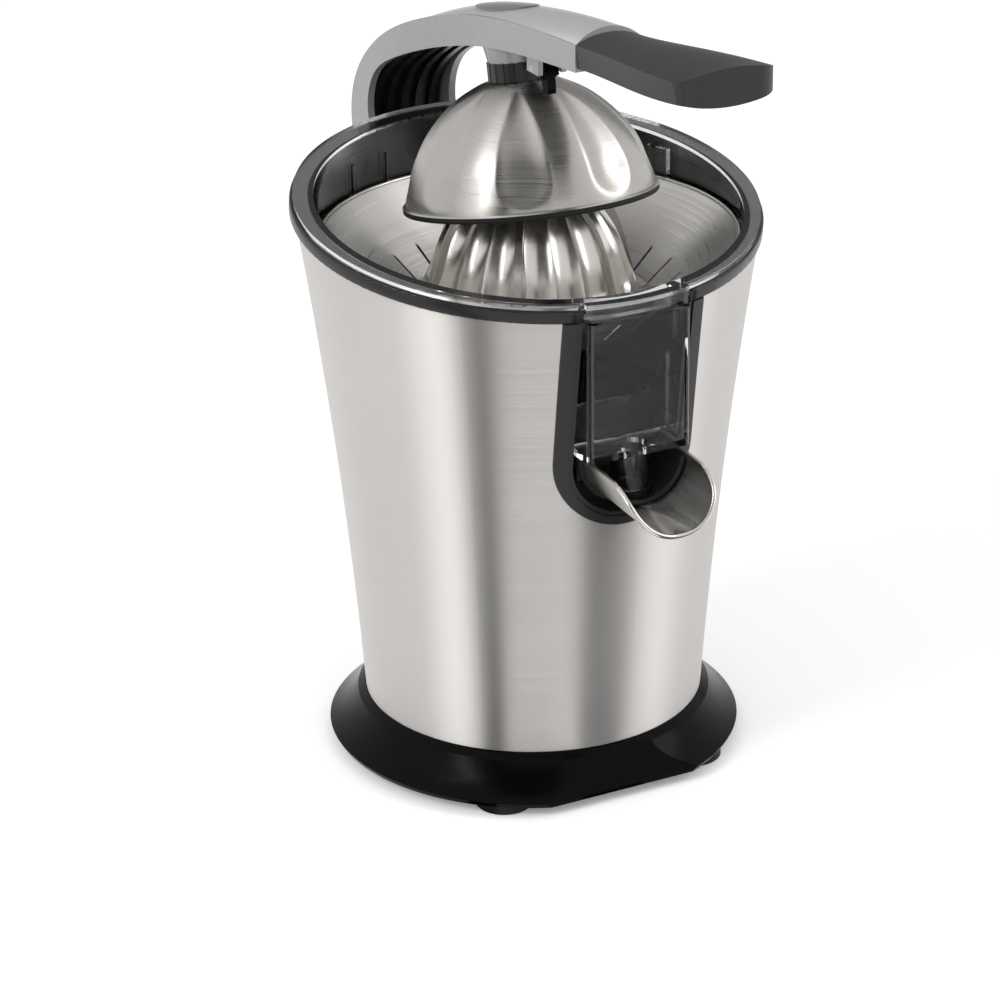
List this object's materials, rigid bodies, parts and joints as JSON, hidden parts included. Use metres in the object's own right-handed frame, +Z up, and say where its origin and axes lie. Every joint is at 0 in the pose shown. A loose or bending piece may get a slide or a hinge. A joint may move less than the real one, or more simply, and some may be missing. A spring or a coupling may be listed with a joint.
{
  "type": "lever citrus juicer",
  "caption": "Motor driven lever citrus juicer with a steel body, tilted rim, clear juice bowl, fluted reamer and a hinged arm that presses with a dome.",
  "frame": {"origin": "centre of the flat underside of the bottom plate, on the axis of the body and the drive shaft", "axes": "+Z up along the drive shaft, -Y towards the spout, +Y towards the arm's hinge"},
  "size_m": [0.19, 0.2812, 0.3319],
  "materials": {
    "brushed_steel": "brushed stainless steel",
    "zinc_steel": "zinc plated steel",
    "black_plastic": "fine matte black moulding",
    "grey_plastic": "light grey painted moulding",
    "silver_plastic": "silver painted moulding",
    "dome_plastic": "satin steel pressing",
    "clear_plastic": "smoke tinted clear plastic",
    "grip_rubber": "soft dark grey grip",
    "rubber": "matte black rubber",
    "gear_plastic": "natural acetal",
    "brass": "sintered bronze bush",
    "badge": "plain satin oval"
  },
  "bodies": {
    "base": {"base_skirt": "black_plastic", "bottom_plate": "black_plastic", "plate_screws": "zinc_steel", "feet": "rubber", "cord_gland": "rubber", "steel_shell": "brushed_steel", "top_collar": "black_plastic", "window_bezel": "black_plastic", "juice_bowl": "clear_plastic", "juice_window": "clear_plastic", "outlet_nozzle": "clear_plastic", "strainer": "brushed_steel", "inner_housing": "black_plastic", "gear_plate": "zinc_steel", "gearbox_cover": "black_plastic", "gearbox_screws": "zinc_steel", "shaft_bushes": "brass", "shaft_seal": "rubber", "idler_pin": "zinc_steel", "motor_can": "zinc_steel", "switch_body": "black_plastic", "hinge_housing": "black_plastic", "hinge_backing": "zinc_steel", "housing_screws": "zinc_steel", "spout_pins": "zinc_steel", "start_spring": "zinc_steel"},
    "arm": {"arm_frame": "grey_plastic", "arm_cover": "silver_plastic", "badge_insert": "badge", "arm_liner": "black_plastic", "grip": "grip_rubber", "hinge_pin": "zinc_steel", "friction_washers": "black_plastic", "dome_socket": "grey_plastic", "dome_neck": "black_plastic", "dome_screw": "zinc_steel", "press_dome": "dome_plastic", "dome_ring": "rubber", "finger_pin": "zinc_steel"},
    "finger": {"latch_finger": "black_plastic"},
    "spout": {"spout_trough": "brushed_steel", "spout_holder": "black_plastic", "nozzle_pad": "rubber"},
    "carrier": {"thrust_yoke": "gear_plastic"},
    "reamer": {"drive_shaft": "zinc_steel", "reamer_shell": "brushed_steel", "reamer_core": "black_plastic"},
    "output": {"output_wheel": "gear_plastic"},
    "idler": {"idler_gear": "gear_plastic"},
    "rotor": {"motor_rotor": "zinc_steel", "motor_pinion": "gear_plastic"},
    "plunger": {"switch_plunger": "gear_plastic"}
  },
  "joints": [
    {"name": "arm_lift", "type": "hinge", "parent": "base", "child": "arm", "pos_m": [0, 0.113, 0.22], "axis": [-1, 0, 0], "range_deg": [-11.5, 78]},
    {"name": "finger_tip", "type": "hinge", "parent": "arm", "child": "finger", "pos_m": [0, -0.015, 0.2912], "axis": [-1, 0, 0], "range_deg": [0, 10]},
    {"name": "spout_tip", "type": "hinge", "parent": "base", "child": "spout", "pos_m": [0, -0.071, 0.148], "axis": [1, 0, 0], "range_deg": [0, 18]},
    {"name": "press_start", "type": "slide", "parent": "base", "child": "carrier", "axis": [0, 0, -1], "range_m": [0, 0.0015], "stiffness_N_per_m": 2000, "springref_m": -0.004, "deforming": ["start_spring"]},
    {"name": "reamer_spin", "type": "hinge", "parent": "carrier", "child": "reamer", "pos_m": [0, 0, 0.105], "axis": [0, 0, 1], "continuous": true},
    {"name": "output_spin", "type": "hinge", "parent": "base", "child": "output", "pos_m": [0, 0, 0.116], "axis": [0, 0, 1], "continuous": true},
    {"name": "idler_spin", "type": "hinge", "parent": "base", "child": "idler", "pos_m": [0, 0.03, 0.11], "axis": [0, 0, 1], "continuous": true},
    {"name": "rotor_spin", "type": "hinge", "parent": "base", "child": "rotor", "pos_m": [0.024, 0.03, 0.06], "axis": [0, 0, 1], "continuous": true},
    {"name": "plunger_travel", "type": "slide", "parent": "base", "child": "plunger", "axis": [0, 0, -1], "range_m": [0, 0.0015]}
  ],
  "couplings": [
    {"joint": "output_spin", "follows": "reamer_spin", "ratio": 1},
    {"joint": "idler_spin", "follows": "reamer_spin", "ratio": -3},
    {"joint": "rotor_spin", "follows": "reamer_spin", "ratio": 9},
    {"joint": "plunger_travel", "follows": "press_start", "ratio": 1}
  ]
}
